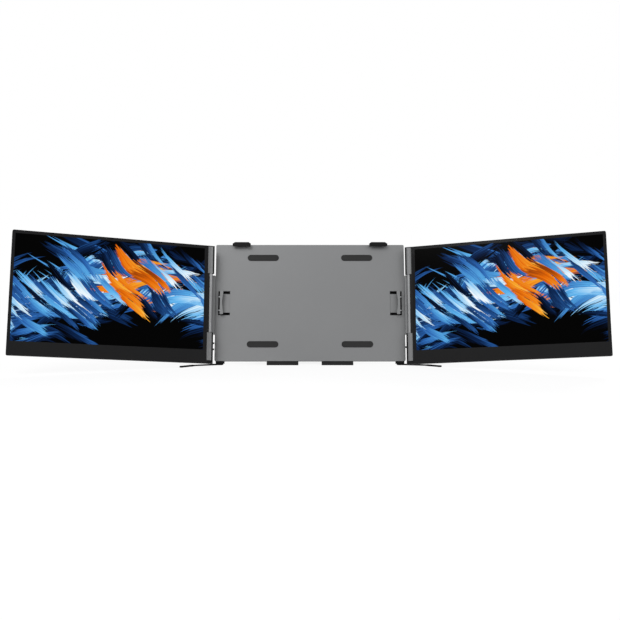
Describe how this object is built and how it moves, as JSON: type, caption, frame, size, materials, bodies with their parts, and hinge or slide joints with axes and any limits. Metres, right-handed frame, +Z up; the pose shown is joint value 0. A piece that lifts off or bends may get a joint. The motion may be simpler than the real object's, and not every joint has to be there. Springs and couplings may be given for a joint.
{
  "type": "laptop screen extender",
  "caption": "Clip-on laptop screen extender: a centre frame that grips a laptop's lid, with a hinged screen on each side, a kickstand and fold-out desk legs.",
  "frame": {"origin": "on the desk, under the middle of the standing part's box", "axes": "+Z up, +X to the user's right along the two screens, -Y towards the user"},
  "size_m": [1.0618, 0.2121, 0.2551],
  "materials": {
    "grey_aluminium": "satin anodised, neutral mid grey",
    "grey_trim": "satin anodised, neutral mid grey",
    "black_housing": "fine-textured black moulding",
    "dark_frame": "satin very dark grey moulding",
    "cover_glass": "polished cover glass over the picture",
    "lcd_glass": "liquid crystal cell, dark",
    "backlight_sheet": "backlight tray and light guide",
    "steel": "plain steel",
    "rubber": "soft black rubber",
    "black_hook": "black powder-coated die casting",
    "dark_aluminium": "dark anodised sheet",
    "black_painted_steel": "black powder-coated steel",
    "circuit_board": "green circuit board with black chips",
    "ribbon_film": "amber polyimide film over copper",
    "port_steel": "plated socket shell",
    "button_plastic": "dark button"
  },
  "bodies": {
    "root": {"front_plate": "grey_aluminium", "rear_cover": "black_housing", "lid_pads": "rubber", "base_pads": "rubber", "left_hinge_arm": "grey_aluminium", "right_hinge_arm": "grey_aluminium", "left_hinge_shafts": "steel", "right_hinge_shafts": "steel", "arm_screws": "steel", "cover_screws": "steel", "clip_rods": "steel", "left_clip_spring": "steel", "right_clip_spring": "steel", "kickstand_pins": "steel", "left_leg_mount": "black_housing", "right_leg_mount": "black_housing", "leg_pins": "steel"},
    "left_screen": {"left_rear_shell": "black_housing", "left_front_frame": "dark_frame", "left_screen_glass": "cover_glass", "left_lcd_cell": "lcd_glass", "left_backlight": "backlight_sheet", "left_hinge_trim": "grey_trim", "left_hinge_brackets": "steel", "left_bracket_screws": "steel", "left_controller_board": "circuit_board", "left_button_board": "circuit_board", "left_ribbon_cables": "ribbon_film", "left_usb_ports": "port_steel", "left_hdmi_port": "port_steel"},
    "right_screen": {"right_rear_shell": "black_housing", "right_front_frame": "dark_frame", "right_screen_glass": "cover_glass", "right_lcd_cell": "lcd_glass", "right_backlight": "backlight_sheet", "right_hinge_trim": "grey_trim", "right_hinge_brackets": "steel", "right_bracket_screws": "steel", "right_controller_board": "circuit_board", "right_button_board": "circuit_board", "right_ribbon_cables": "ribbon_film", "right_usb_ports": "port_steel", "right_hdmi_port": "port_steel"},
    "left_clip_slide": {"left_clip": "grey_aluminium", "left_clip_pad": "rubber"},
    "right_clip_slide": {"right_clip": "grey_aluminium", "right_clip_pad": "rubber"},
    "left_hook_slide": {"left_hook": "black_hook", "left_hook_pad": "rubber"},
    "right_hook_slide": {"right_hook": "black_hook", "right_hook_pad": "rubber"},
    "kickstand_flap": {"kickstand": "dark_aluminium", "kickstand_foot": "rubber"},
    "left_leg_arm": {"left_leg": "black_painted_steel", "left_leg_shoe": "rubber"},
    "right_leg_arm": {"right_leg": "black_painted_steel", "right_leg_shoe": "rubber"},
    "left_power_key": {"left_power_button": "button_plastic"},
    "left_menu_key": {"left_menu_button": "button_plastic"},
    "right_power_key": {"right_power_button": "button_plastic"}
  },
  "joints": [
    {"name": "left_screen_hinge", "type": "hinge", "parent": "root", "child": "left_screen", "pos_m": [-0.1886, 0.04516, 0.11751], "axis": [0, 0.2453, 0.9694], "range_deg": [-19.8, 160.2]},
    {"name": "right_screen_hinge", "type": "hinge", "parent": "root", "child": "right_screen", "pos_m": [0.1886, 0.05437, 0.11518], "axis": [0, -0.2453, -0.9694], "range_deg": [-19.8, 160.2]},
    {"name": "left_clip_travel", "type": "slide", "parent": "root", "child": "left_clip_slide", "axis": [-1, 0, 0], "range_m": [-0.014, 0.0022], "stiffness_N_per_m": 250, "springref_m": -0.02, "deforming": ["left_clip_spring"]},
    {"name": "right_clip_travel", "type": "slide", "parent": "root", "child": "right_clip_slide", "axis": [1, 0, 0], "range_m": [-0.014, 0.0022], "stiffness_N_per_m": 250, "springref_m": -0.02, "deforming": ["right_clip_spring"]},
    {"name": "left_hook_lift", "type": "slide", "parent": "root", "child": "left_hook_slide", "axis": [0, 0.2453, 0.9694], "range_m": [-0.0015, 0.022]},
    {"name": "right_hook_lift", "type": "slide", "parent": "root", "child": "right_hook_slide", "axis": [0, 0.2453, 0.9694], "range_m": [-0.0015, 0.022]},
    {"name": "kickstand_hinge", "type": "hinge", "parent": "root", "child": "kickstand_flap", "pos_m": [0, 0.07909, 0.1244], "axis": [1, 0, 0], "range_deg": [-24.2, 45]},
    {"name": "left_leg_swing", "type": "hinge", "parent": "root", "child": "left_leg_arm", "pos_m": [-0.1705, 0.04673, 0.001], "axis": [0, 0, 1], "range_deg": [-19.5, 160.5]},
    {"name": "right_leg_swing", "type": "hinge", "parent": "root", "child": "right_leg_arm", "pos_m": [0.1705, 0.04673, 0.001], "axis": [0, 0, -1], "range_deg": [-13.5, 166.5]},
    {"name": "left_power_press", "type": "slide", "parent": "left_screen", "child": "left_power_key", "axis": [-0.9409, -0.3284, 0.0831], "range_m": [0, 0.0008], "stiffness_N_per_m": 600, "springref_m": -0.001},
    {"name": "left_menu_press", "type": "slide", "parent": "left_screen", "child": "left_menu_key", "axis": [-0.9409, -0.3284, 0.0831], "range_m": [0, 0.0008], "stiffness_N_per_m": 600, "springref_m": -0.001},
    {"name": "right_power_press", "type": "slide", "parent": "right_screen", "child": "right_power_key", "axis": [0.9409, -0.3284, 0.0831], "range_m": [0, 0.0008], "stiffness_N_per_m": 600, "springref_m": -0.001}
  ]
}
